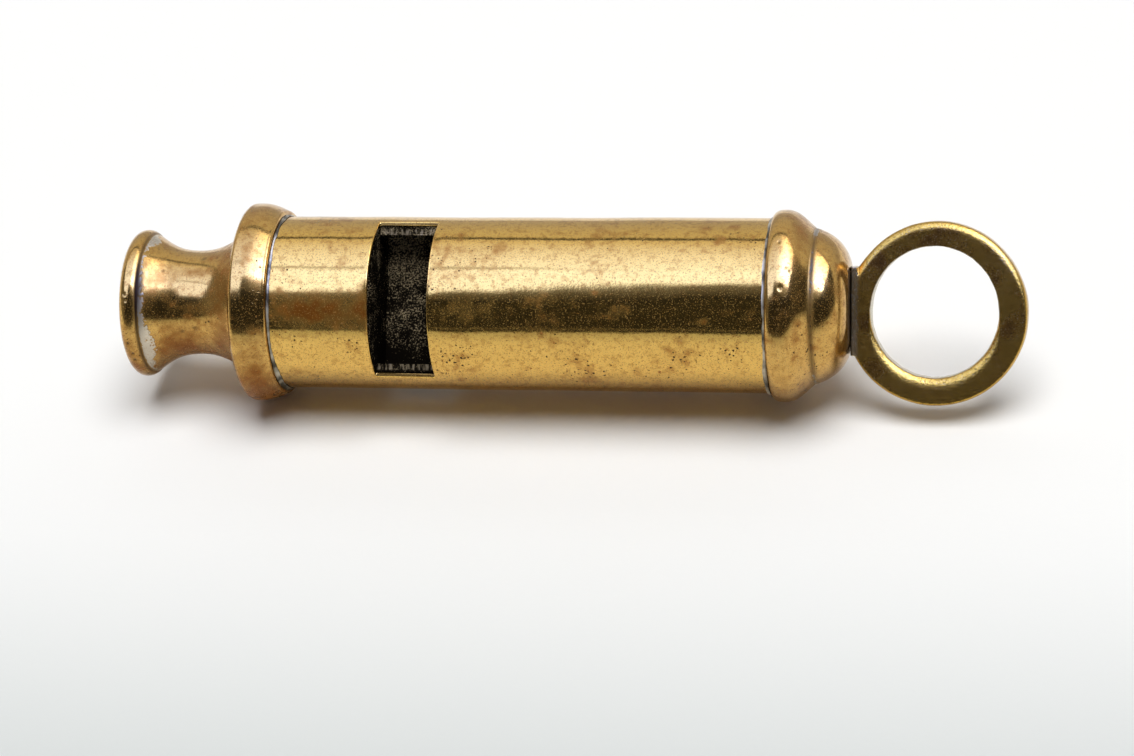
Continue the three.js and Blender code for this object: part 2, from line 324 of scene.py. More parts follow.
def around(stations, radii, turns):
    """World points. Turn 0 is level towards the viewer, and 90 degrees is up."""
    stations, radii, turns = np.broadcast_arrays(stations, radii, turns)
    return np.stack(
        [LIP_END + stations, -radii * np.cos(turns), AXIS_HEIGHT + radii * np.sin(turns)], axis=-1
    )


def apart(turns, degrees):
    """Signed angle in degrees between turns and one direction."""
    return np.degrees(np.angle(np.exp(1j * (turns - math.radians(degrees)))))


def lobe(turns, degrees, reach):
    """A soft bump round one direction, 1 at its top."""
    return np.exp(-(apart(turns, degrees) / reach) ** 2)


def spots(stations, turns, places):
    """Sum of soft spots: (station mm, turn degrees, reach mm along, reach degrees round, height)."""
    field = np.zeros(np.broadcast(stations, turns).shape)
    for station, turn, along, across, height in places:
        field += height * np.exp(
            -((stations / MM - station) / along) ** 2 - (apart(turns, turn) / across) ** 2
        )
    return field


def step_up(value, start, end):
    """Smooth step from 0 at start to 1 at end."""
    t = np.clip((value - start) / (end - start), 0, 1)
    return t * t * (3 - 2 * t)


def rough(points, size):
    """Smooth noise from -1 to 1 at world points, with features of that size."""
    flat = points.reshape(-1, 3) / size
    return np.array([noise.noise(Vector(p)) for p in flat]).reshape(points.shape[:-1])


def mesh_of(name, points, faces):
    """A mesh whose faces all point outwards."""
    mesh = bpy.data.meshes.new(name)
    mesh.from_pydata(points.reshape(-1, 3).tolist(), [], faces)
    work = bmesh.new()
    work.from_mesh(mesh)
    bmesh.ops.recalc_face_normals(work, faces=work.faces)
    work.to_mesh(mesh)
    work.free()
    return mesh


def turned_faces(rows, columns):
    """Quads of a closed outline that is turned right round."""
    faces = []
    for i in range(rows):
        for j in range(columns):
            a, b = (i + 1) % rows, (j + 1) % columns
            faces.append((i * columns + j, a * columns + j, a * columns + b, i * columns + b))
    return faces


def turned_grid(points):
    """Stations, radii and turns of an outline turned about the axis, one row per point."""
    turns = np.linspace(0, 2 * math.pi, TURN_STEPS, endpoint=False)[None, :]
    return points[:, :1], points[:, 1:], turns


def add_object(name, data):
    """Puts a new object in the scene."""
    thing = bpy.data.objects.new(name, data)
    bpy.context.collection.objects.link(thing)
    return thing


def add_piece(name, mesh, material, node, masks=None):
    """Puts a finished mesh in the scene as the visible piece of a CAD node."""
    piece = add_object(name, mesh)
    mesh.materials.append(material)
    for key, field in (masks or {}).items():
        layer = mesh.attributes.new(key, "FLOAT", "POINT")
        layer.data.foreach_set("value", np.clip(field, 0, 1).astype(np.float32).ravel())
    mesh.polygons.foreach_set("use_smooth", np.ones(len(mesh.polygons), dtype=bool))
    mesh.set_sharp_from_angle(angle=CREASE_ANGLE)
    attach(piece, "root")
    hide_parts(node)
    return piece


def add_turned(name, grid, material, node, masks=None):
    """Adds a piece from a grid of points that closes both along its rows and round them."""
    shape = grid.shape[:2]
    fields = {key: np.broadcast_to(field, shape) for key, field in (masks or {}).items()}
    return add_piece(name, mesh_of(name, grid, turned_faces(*shape)), material, node, fields)


def soften(piece, width):
    """Softens the sharp edges of a piece with a narrow bevel."""
    bevel = piece.modifiers.new("Softened edges", "BEVEL")
    bevel.width = width
    bevel.segments = 2
    bevel.limit_method = "ANGLE"
    bevel.angle_limit = BEVEL_ANGLE


def add_node(tree, kind, inputs=(), out=0, **options):
    """Adds a shader node, sets its options, links or sets its inputs, and gives back one output."""
    # Inputs come by name, or in the node's own order.
    node = tree.nodes.new("ShaderNode" + kind)
    for key, value in options.items():
        setattr(node, key, value)
    for key, value in inputs.items() if isinstance(inputs, dict) else enumerate(inputs):
        if isinstance(value, bpy.types.NodeSocket):
            tree.links.new(value, node.inputs[key])
        else:
            node.inputs[key].default_value = value
    return node.outputs[out] if node.outputs else None


def add_chain(tree, result, rows, kind, sockets, out=0, **options):
    """Adds a node for each row of inputs, fed with the result so far, and gives back the last result."""
    for row in rows:
        result = add_node(tree, kind, dict(zip(sockets, (*row, result))), out, **options)
    return result


def new_material(name):
    """An empty node material, its tree and the socket with the place on the piece."""
    material = bpy.data.materials.new(name)
    material.use_nodes = True
    tree = material.node_tree
    tree.nodes.clear()
    return material, tree, add_node(tree, "TexCoord", out="Object")


def polished_brass(name, bright, roughness, line_height):
    """Drawn or spun brass, once nickel plated and then polished bare."""
    # It mirrors softly. Handling has toned it brown in clouds, corrosion has left orange-brown specks and
    # stains and dark pits, and pale nickel is left where no cloth reaches.
    tint = values("colours")
    material, tree, place = new_material(name)
    mask = {
        key: add_node(tree, "Attribute", out="Fac", attribute_name=key)
        for key in ("toned", "nickel", "grime_and_shade", "pitted")
    }
    # Feature sizes in millimetres, and levels of detail
    field = {
        key: add_node(tree, "TexNoise", {"Vector": place, "Scale": 1 / (size * MM), "Detail": detail})
        for key, size, detail in (
            ("cloud", 6, 5), ("stain", 1.1, 6), ("mottle", 0.5, 4), ("grain", 0.16, 3), ("mote", 0.12, 2),
            ("flake", 0.4, 5),
        )
    }
    tone = add_chain(tree, mask["toned"], [(field["stain"], 0.9)], **TERMS)
    stain = add_chain(tree, field["stain"], [(field["cloud"], 0.9)], **TERMS)
    plate = add_chain(tree, mask["nickel"], [(field["flake"], 1.4)], **TERMS)
    # Where each layer begins, where it is full, and how much of it then shows
    layer = {
        key: add_node(tree, "MapRange", (value, low, high, 0.0, top))
        for key, value, low, high, top in (
            ("haze", field["cloud"], 0.46, 0.7, 0.16), ("film", field["stain"], 0.46, 0.7, 0.14),
            ("tone", tone, 0.72, 1.35, 1.0), ("fleck", field["mottle"], 0.54, 0.65, 0.34),
            ("speck", field["grain"], 0.56, 0.66, 0.5), ("stain", stain, 1.04, 1.26, 0.6),
            ("mote", field["mote"], 0.59, 0.68, 0.55), ("plate", plate, 1.16, 1.26, 1.0),
        )
    }
    # Spots in cells of 1.3 mm and pits in cells of 0.34 mm, with ragged outlines. The finest real pits are
    # under a pixel, so these are drawn wider.
    stir = add_node(tree, "TexNoise", {"Vector": place, "Scale": 1 / (0.2 * MM), "Detail": 3.0}, "Color")
    stirred = add_node(tree, "VectorMath", (stir, (0.24 * MM,) * 3, place), operation="MULTIPLY_ADD")
    for key, cell, chance, reach in (("spot", 1.3, 1.66, 0.17), ("pit", 0.34, 1.62, 0.38)):
        cells = add_node(tree, "TexVoronoi", {"Vector": stirred, "Scale": 1 / (cell * MM)}, "Color")
        draw = add_node(tree, "SeparateColor", (cells,))
        crowd = add_chain(tree, draw, [(field["cloud"], 2.0), (mask["pitted"], 1.0)], **TERMS)
        width = add_node(tree, "MapRange", (crowd, chance, chance + 0.8, 0.0, reach))
        inside = add_node(tree, "Math", (width, cells.node.outputs["Distance"]), operation="SUBTRACT")
        layer[key] = add_node(tree, "MapRange", (inside, 0.0, reach / 5, 0.0, 0.9))
    # This mask darkens in the pit colour: dirt in places, and painted shade in creases
    layer["grime_and_shade"] = mask["grime_and_shade"]
    films = (
        ("haze", tint.brown), ("film", tint.brown), ("tone", tint.brown), ("fleck", tint.brown),
        ("speck", tint.rust), ("stain", tint.rust), ("spot", tint.rust), ("plate", tint.nickel),
        ("mote", tint.mote), ("pit", tint.pit), ("grime_and_shade", tint.pit),
    )
    paint = add_chain(tree, tuple(bright), [(layer[key], film) for key, film in films], **FILMS)
    # Turning lines about 0.15 mm apart run round the piece
    station = add_node(tree, "SeparateXYZ", (place,), "X")
    along = add_node(tree, "Math", (station, 1 / (0.15 * MM)), operation="MULTIPLY")
    lines = add_node(tree, "TexNoise", {"W": along, "Scale": 1.0, "Detail": 2.0}, noise_dimensions="1D")
    # What each layer adds to the roughness, to the matt share and to the height
    effects = (
        (layer["tone"], 0.12, 0.6, 0.0), (layer["fleck"], 0.05, 0.1, 0.0), (layer["speck"], 0.05, 0.4, 0.0),
        (layer["stain"], 0.15, 0.35, 0.0), (layer["spot"], 0.2, 0.4, -0.2), (layer["plate"], 0.12, 0.0, 0.5),
        (layer["pit"], 0.2, 0.6, -0.2), (layer["grime_and_shade"], 0.3, 0.9, 0.0), (layer["mote"], 0.1, 0.9, 0.0),
        (field["mottle"], 0.0, 0.0, 0.14), (field["grain"], 0.0, 0.0, 0.09), (lines, 0.0, 0.0, line_height),
    )
    gloss, matt, height = [
        add_chain(tree, start, [(row[0], row[column]) for row in effects if row[column]], **TERMS)
        for column, start in ((1, roughness), (2, 0.0), (3, 0.0))
    ]
    surface = add_node(tree, "BsdfPrincipled", {
        "Base Color": paint,
        "Metallic": add_node(tree, "MapRange", {"Value": matt, "To Min": 1.0, "To Max": 0.1}),
        "Roughness": gloss,
        "Normal": add_node(tree, "Bump", {"Height": height, "Distance": 0.03 * MM}),
        "Specular IOR Level": 0.1,
    })
    add_node(tree, "OutputMaterial", (surface,))
    return material


def cast_brass(name):
    """Sand-cast brass, filed and tumbled: olive brown on its flats, with edges worn bright by the lanyard."""
    tint = values("colours")
    material, tree, place = new_material(name)
    mask = {
        key: add_node(tree, "Attribute", out="Fac", attribute_name=key)
        for key in ("toned", "nickel", "grime_and_shade")
    }
    # Sand grain of about 0.15 mm and clouds of about 2.5 mm
    grain, clouds = [
        add_node(tree, "TexNoise", {"Vector": place, "Scale": 1 / (size * MM), "Detail": detail})
        for size, detail in ((0.15, 5.0), (2.5, 4.0))
    ]
    ragged = add_chain(tree, mask["nickel"], [(grain, 1.6)], **TERMS)
    uneven, speck, grit, plate = [
        add_node(tree, "MapRange", limits)
        for limits in (
            (clouds, 0.38, 0.62, 0.5, 1.0), (grain, 0.55, 0.66, 0.0, 0.65),
            (grain, 0.42, 0.3, 0.0, 0.7), (ragged, 1.15, 1.7, 0.0, 0.85),
        )
    ]
    tone = add_node(tree, "Math", (uneven, mask["toned"]), operation="MULTIPLY")
    # The last film lays the soot colour as painted shade in the gap between the foot and the cap
    films = (
        (tone, tint.ring_brown), (speck, tint.pit), (grit, tint.dust), (plate, tint.solder),
        (mask["grime_and_shade"], tint.soot_and_shade),
    )
    dull = add_node(tree, "Math", (tone, plate), operation="MAXIMUM")
    surface = add_node(tree, "BsdfPrincipled", {
        "Base Color": add_chain(tree, tuple(tint.ring_gold), films, **FILMS),
        "Metallic": add_node(tree, "MapRange", {"Value": dull, "To Min": 1.0, "To Max": 0.75}),
        "Roughness": add_node(tree, "MapRange", {"Value": tone, "To Min": 0.2, "To Max": 0.3}),
        "Normal": add_node(tree, "Bump", {"Height": grain, "Distance": 0.04 * MM}),
    })
    add_node(tree, "OutputMaterial", (surface,))
    return material


def soft_solder(name):
    """Tin solder run into the joints, wiped and never polished: pale grey, with dull dark blotches."""
    tint = values("colours")
    material, tree, place = new_material(name)
    # Blotches of about 1.6 mm with finer grit
    blotch = add_node(tree, "TexNoise", {"Vector": place, "Scale": 1 / (1.6 * MM), "Detail": 6.0})
    dull = add_node(tree, "MapRange", (blotch, 0.4, 0.6))
    surface = add_node(tree, "BsdfPrincipled", {
        "Base Color": add_chain(tree, tuple(tint.solder), [(dull, tint.dull_solder)], **FILMS),
        "Metallic": 0.6,
        "Roughness": 0.42,
        "Normal": add_node(tree, "Bump", {"Height": blotch, "Distance": 0.05 * MM}),
    })
    add_node(tree, "OutputMaterial", (surface,))
    return material


def tarnished_brass(name, milled=False):
    """Unpolished brass inside the tube: black-brown tarnish that holds pale grit."""
    tint = values("colours")
    size = values("barrel")
    material, tree, place = new_material(name)
    # Grit of about 0.14 mm lies in drifts of about 2 mm, and the pale grit is cut back low down, so these
    # pieces are darker towards the bottom
    grit, drift = [
        add_node(tree, "TexNoise", {"Vector": place, "Scale": 1 / (feature * MM), "Detail": 2.0})
        for feature in (0.14, 2)
    ]
    height = add_node(tree, "SeparateXYZ", (place,), "Z")
    darker_low = add_node(
        tree, "MapRange", (height, AXIS_HEIGHT - 4 * MM, AXIS_HEIGHT + 2 * MM, -0.14, 0.04)
    )
    both = add_chain(tree, grit, [(drift, 0.5), (darker_low, 1.0)], **TERMS)
    dusty = add_node(tree, "MapRange", (both, 0.76 if milled else 0.86, 0.98))
    films = [(dusty, tint.dust)]
    metal, gloss = 0.0, 0.7
    if milled:
        # Faces on the windows' plane were cut with them. Chatter marks about 0.2 mm apart cross them, and
        # tarnish has crept in from the joint with the tube.
        out = (0, -math.cos(size.window_tilt), math.sin(size.window_tilt))
        level = add_node(tree, "VectorMath", (place, (0, 0, -AXIS_HEIGHT)), operation="ADD")
        across = add_node(tree, "VectorMath", (level, (0, 1, 1)), operation="MULTIPLY")
        depth = add_node(tree, "VectorMath", (level, out), "Value", operation="DOT_PRODUCT")
        radius = add_node(tree, "VectorMath", (across,), "Value", operation="LENGTH")
        either = add_node(tree, "Math", (depth,), operation="ABSOLUTE")
        slant = add_node(
            tree, "Mapping", {"Vector": place, "Rotation": (0, 0.5, 0), "Scale": (1, 0.2, 0.2)}
        )
        chatter = add_node(tree, "TexNoise", {"Vector": slant, "Scale": 1 / (0.2 * MM), "Detail": 3.0})
        plane = size.diameter / 2 - size.window_depth
        joint = size.diameter / 2 - size.wall - size.clearance
        bare = 0.5
        for limits in (
            (either, plane - 0.06 * MM, plane - 0.02 * MM),
            (radius, joint - 0.08 * MM, joint - 0.2 * MM),
            (chatter, 0.46, 0.62),
        ):
            share = add_node(tree, "MapRange", limits)
            bare = add_node(tree, "Math", (share, bare), operation="MULTIPLY")
        films.append((bare, tint.dust))
        metal, gloss = [
            add_node(tree, "MapRange", {"Value": bare, "To Min": least, "To Max": 0.4})
            for least in (metal, gloss)
        ]
    surface = add_node(tree, "BsdfPrincipled", {
        "Base Color": add_chain(tree, tuple(tint.soot_and_shade), films, **FILMS),
        "Metallic": metal,
        "Roughness": gloss,
        "Normal": add_node(tree, "Bump", {"Height": grit, "Distance": 0.05 * MM}),
        "Specular IOR Level": 0.0,
    })
    add_node(tree, "OutputMaterial", (surface,))
    return material


class WHISTLE_OT_mouthpiece(bpy.types.Operator):
    """Make the mouthpiece: rolled lip, waisted neck and collar"""

    bl_idname = "whistle.mouthpiece"
    bl_label = "Mouthpiece"

    def execute(self, context):
        size = values("mouthpiece")
        socket = values("barrel").diameter / 2 + values("barrel").clearance
        bead_centre = size.lip / 2 - size.bead
        crease = size.bead * (1 + math.sin(size.wrap))
        crease_radius = bead_centre + size.bead * math.cos(size.wrap)
        waist = size.waist / 2
        corner = waist + size.flare
        crest_radius = size.collar / 2
        rim_radius = size.rim / 2
        crest = COLLAR_RIM - size.crest
        rim_start = COLLAR_RIM - size.rim_round
        floor = COLLAR_RIM - size.socket
        fall = size.waist_at - crease
        rise = size.neck - size.waist_at
        shown = np.concatenate([
            arc(size.bead, bead_centre, size.bead, -math.pi / 2, size.wrap, BEAD_STEPS),
            curve(
                (crease, crease_radius), (crease + NECK_LEAD * fall, crease_radius - NECK_LEAN * fall),
                (size.waist_at - WAIST_LEAD * fall, waist), (size.waist_at, waist), steps=NECK_STEPS,
            ),
            curve(
                (size.waist_at, waist), (size.waist_at + FLARE_LEAD * rise, waist),
                (size.neck - FLARE_TAIL * rise, waist + FLARE_SWELL * size.flare), (size.neck, corner),
                steps=NECK_STEPS,
            ),
            curve(
                (size.neck, corner), (size.neck, corner + COLLAR_SQUARENESS * (crest_radius - corner)),
                (crest - COLLAR_SQUARENESS * (crest - size.neck), crest_radius), (crest, crest_radius),
            ),
            curve(
                (crest + size.land, crest_radius), (crest + CREST_LEAD * size.crest, crest_radius),
                (rim_start, rim_radius),
            ),
            arc(rim_start, rim_radius - size.rim_round, size.rim_round, 0, math.pi / 2, EDGE_STEPS),
        ])
        hidden = np.concatenate([
            straight(
                (COLLAR_RIM, socket), (floor, socket), (floor, size.throat / 2),
                (floor - size.throat_depth, size.bore / 2), (size.bore_flare, size.bore / 2),
            ),
            curve((size.bore_flare, size.bore / 2), (0, size.bore / 2), (0, bead_centre)),
        ])
        points = closed(shown, hidden)
        stations, radii, turns = turned_grid(points)
        # The first points inside the socket still count as the shown rim
        rim_points = 8
        inner = (np.arange(len(points)) >= len(points) - len(hidden) + rim_points)[:, None]
        # Nicks in the lip: station, turn, reach along, reach round, depth
        nicks = (
            (0.72, 39, 0.13, 1.2, 0.09), (0.87, 34, 0.1, 1.0, 0.06), (0.75, -1, 0.12, 1.0, 0.05),
            (1.0, -11, 0.12, 1.1, 0.07), (1.0, -18, 0.12, 1.2, 0.08), (0.6, 120, 0.15, 1.4, 0.06),
            (0.8, 205, 0.14, 1.4, 0.08), (0.7, 262, 0.15, 1.6, 0.06),
        )
        depth = spots(stations, turns, nicks) * MM
        grid = around(stations, radii - np.where(inner, 0, depth), turns)
        grid[..., 2] -= size.droop * np.clip(1 - stations / size.neck, 0, 1)
        # Nickel is left in the crease behind the lip, further out below and on top
        past = (stations - crease) / MM
        reach = 0.24 + spots(
            0, turns, ((0, -10, 1, 26, 1.0), (0, 42, 1, 22, 0.3), (0, 102, 1, 14, 0.75), (0, 190, 1, 30, 0.5))
        )
        nickel = 0.72 * step_up(past, 0.0, 0.2) * (1 - step_up(past, reach - 0.45, reach + 0.5))
        # Brown toning in spots; the broad spots low down, at -30 and -60 degrees, are partly toning and
        # partly painted shade on the underside
        toned = 0.1 + spots(stations, turns, (
            (5.2, -18, 2.8, 26, 0.75), (9.6, 30, 1.2, 90, 0.6), (13.0, -30, 2.0, 38, 0.75),
            (6.8, 26, 1.6, 8, 0.5), (12.6, 90, 1.4, 26, 0.3), (0.8, -20, 0.9, 40, 0.5),
            (8.0, -60, 6.0, 32, 0.6), (3.5, 55, 1.6, 26, 0.5), (6.4, 66, 1.6, 8, 0.5),
            (5.0, 170, 3.0, 40, 0.4), (12.5, 180, 2.0, 60, 0.3),
        ))
        pitted = spots(stations, turns, (
            (8.6, 5, 1.4, 22, 0.4), (13.4, 30, 1.0, 14, 0.3), (13.0, 100, 1.5, 20, 0.2),
            (0.9, 0, 0.8, 30, 0.35),
        ))
        # Dirt and painted shade darken the crease behind the lip, and a spot just past it at 42 degrees is
        # painted shade for the dark that the hollow mirrors; the corner at the collar is darkened, and dirt
        # lies in the nicks and in a few marks on the neck
        dirt_and_shade = np.exp(-((stations - crease) / (0.14 * MM)) ** 2) * 0.7
        dirt_and_shade = dirt_and_shade + spots(stations, turns, ((crease / MM + 0.25, 42, 0.34, 30, 0.85),))
        dirt_and_shade = dirt_and_shade + np.exp(-((stations - size.neck) / (0.1 * MM)) ** 2) * (radii < 1.05 * corner) * 0.7
        marks = spots(stations, turns, [
            *((*nick[:4], 0.9) for nick in nicks),
            (7.18, 87, 0.26, 3.0, 0.7), (3.72, 66, 0.13, 1.3, 0.6), (6.78, 3, 0.16, 1.8, 0.6),
            (5.48, -1, 0.16, 1.8, 0.6),
        ])
        brass = polished_brass("spun_brass_mouthpiece", values("colours").bronze, 0.13, 0.1)
        add_turned("mouthpiece_spun", grid, brass, "mouthpiece", {
            "nickel": np.where(inner, 0, nickel),
            "pitted": np.where(inner, 0, pitted),
            "toned": np.where(inner, 0.9, toned),
            "grime_and_shade": np.where(inner, 0.55, np.maximum(dirt_and_shade, marks)),
        })
        return {"FINISHED"}


class WHISTLE_OT_barrel(bpy.types.Operator):
    """Make the barrel: a drawn tube with a window milled through its front and another through its back"""

    bl_idname = "whistle.barrel"
    bl_label = "Barrel"

    def execute(self, context):
        size = values("barrel")
        outer = size.diameter / 2
        inner = outer - size.wall
        milled = outer - size.window_depth
        start = COLLAR_RIM + size.window_at
        end = start + size.window
        near = straight((BARREL_START, 0), (start - size.press_reach, 0), step=TUBE_STEP)[:, 0]
        press = np.linspace(0, size.press_reach, PRESS_ROWS)
        across = np.linspace(start, end, WINDOW_ROWS)
        far = straight((end + size.press_reach, 0), (BARREL_END, 0), step=TUBE_STEP)[:, 0]
        stations = np.unique(np.concatenate([near, start - press, across, end + press, far]).round(9))
        rows = len(stations)

        # One column of points for each direction, with both edges of each window on columns of their own
        half_turn = WINDOW_STEPS + SIDE_STEPS
        columns = 2 * half_turn
        grids = []
        for radius in (inner, outer):
            half = math.acos(milled / radius)
            knots = [-half, half, math.pi - half, math.pi + half, 2 * math.pi - half]
            counts = [WINDOW_STEPS, SIDE_STEPS, WINDOW_STEPS, SIDE_STEPS]
            turns = np.concatenate([
                np.linspace(a, b, n, endpoint=False) for a, b, n in zip(knots[:-1], knots[1:], counts)
            ])
            u, t = stations[:, None], turns[None, :]
            facing = np.maximum(np.abs(np.cos(t)) - 0.45, 0) / 0.55
            fade = PRESS_FADE * size.press_reach
            near_edge = np.where(u <= start, np.exp((u - start) / fade), 0)
            far_edge = np.where(u >= end, np.exp((end - u) / fade), 0)
            pressed = size.press * step_up(facing, 0, 0.5) * (0.6 * near_edge + far_edge)
            plain = around(u, radius, t + size.window_tilt)
            wave = rough(plain, 9 * MM) + 0.3 * rough(plain, 3.2 * MM)
            # The collar and the cap hold the tube round
            held = step_up(u, COLLAR_RIM, COLLAR_RIM + HELD) * (1 - step_up(u, CAP_RIM - HELD, CAP_RIM))
            grids.insert(0, around(u, radius - pressed + size.waviness * wave * held, t + size.window_tilt))

        in_window = (stations >= start - SAME_STATION) & (stations <= end + SAME_STATION)
        cut = np.outer(in_window[:-1] & in_window[1:], np.arange(columns) % half_turn < WINDOW_STEPS)
        missing = np.pad(cut, ((1, 1), (0, 0)), constant_values=True)
        faces = []
        for i, j in np.argwhere(~cut).tolist():
            sides = [
                wall for (along, turn), wall in WALLS.items() if missing[i + 1 + along, (j + turn) % columns]
            ]
            for corners in (*SKINS, *sides):
                faces.append([(skin * rows + i + a) * columns + (j + b) % columns for skin, a, b in corners])

        # The last turns are those of the outside
        u, t = np.broadcast_arrays(stations[:, None], turns[None, :] + size.window_tilt)
        toned = spots(u, t, (
            (19.0, 27, 5.5, 13, 0.95), (24.0, 30, 1.2, 40, 0.4), (33.0, 27, 3.5, 11, 0.5),
            (40.0, 34, 4.0, 9, 0.35), (47.0, 30, 2.5, 8, 0.4), (33.0, -14, 6.0, 12, 0.2),
            (50.0, 5, 5.0, 14, 0.15), (54.6, 22, 0.6, 2.6, 1.0), (44.9, 40, 0.4, 2.0, 0.9),
            (46.0, 86, 6.0, 7, 0.35), (56.0, 78, 3.0, 6, 0.3), (20.0, 96, 5.0, 9, 0.3),
            (30.0, 180, 9.0, 40, 0.45), (52.0, 215, 7.0, 30, 0.4), (22.0, 250, 6.0, 30, 0.4),
        ))
        pitted = spots(u, t, (
            (19.6, 0, 4.0, 18, 0.62), (31.0, -8, 3.5, 14, 0.42), (17.5, 52, 2.5, 14, 0.2),
            (57.0, -5, 3.0, 22, 0.42), (44.0, -10, 8.0, 16, 0.3), (40.0, 200, 12.0, 50, 0.3),
        ))
        nickel = 0.3 * (1 - step_up(u, COLLAR_RIM + 0.4 * MM, COLLAR_RIM + 0.8 * MM))
        nickel = nickel + 0.3 * step_up(u, CAP_RIM - 0.7 * MM, CAP_RIM - 0.3 * MM)
        plain = np.zeros(u.shape)
        # The inside is dirty, but not on the milled edges of the windows
        shut = plain + 0.9
        for edge in (0, half_turn):
            shut[in_window, edge:edge + WINDOW_STEPS + 1] = 0.1
        brass = polished_brass("drawn_brass_barrel", values("colours").gold, 0.09, 0.0)
        mesh = mesh_of("barrel_drawn", np.concatenate(grids), faces)
        piece = add_piece("barrel_drawn", mesh, brass, "barrel", {
            "toned": np.concatenate([toned, plain + 0.3]),
            "pitted": np.concatenate([pitted, plain]),
            "nickel": np.concatenate([nickel, plain]),
            "grime_and_shade": np.concatenate([plain, shut]),
        })
        soften(piece, size.edge)
        return {"FINISHED"}


class WHISTLE_OT_voice(bpy.types.Operator):
    """Finish the pieces inside the barrel and the cap: wind plug, divider, chamber stops and ring washer"""

    bl_idname = "whistle.voice"
    bl_label = "Voice"

    def execute(self, context):
        tarnish = tarnished_brass("tarnished_brass_voice")
        milled = tarnished_brass("milled_brass_divider", milled=True)
        for name in ("wind_plug", "divider", "high_stop", "low_stop", "ring_washer"):
            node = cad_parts[name]
            for slot in node.material_slots:
                slot.material = milled if name == "divider" else tarnish
            soften(node, VOICE_EDGE)
        return {"FINISHED"}


class WHISTLE_OT_seams(bpy.types.Operator):
    """Make the two solder fillets, at the collar and at the cap"""

    bl_idname = "whistle.seams"
    bl_label = "Solder seams"

    def execute(self, context):
        size = values("barrel")
        foot = size.diameter / 2 + size.clearance / 2
        solder = soft_solder("soft_solder")
        profile = closed(
            straight((0, foot), (0, foot + size.seam_rise), step=SEAM_STEP),
            curve(
                (0, foot + size.seam_rise),
                (SEAM_HOLLOW * size.seam, foot + SEAM_HOLLOW * size.seam_rise),
                (size.seam, foot), steps=SEAM_STEPS,
            ),
            straight((size.seam, foot), (0, foot), step=SEAM_STEP),
        )
        for name, node, station, side, least in (
            ("collar_solder", "collar_seam", COLLAR_RIM + size.clearance / 2, 1, 0.45),
            ("cap_solder", "cap_seam", CAP_RIM - size.clearance / 2, -1, 0.6),
        ):
            along, radii, turns = turned_grid(profile)
            ring = around(station, foot, turns)
            # Uneven all round, and fuller below where the solder ran
            uneven = least + 0.3 * rough(ring, 2.2 * MM) + 0.12 * rough(ring, 0.6 * MM)
            uneven = np.clip(uneven + 0.35 * step_up(-np.sin(turns), -0.1, 0.4), 0.3, 1.0)
            grid = around(station + side * along * uneven, foot + (radii - foot) * uneven, turns)
            add_turned(name, grid, solder, node)
        return {"FINISHED"}


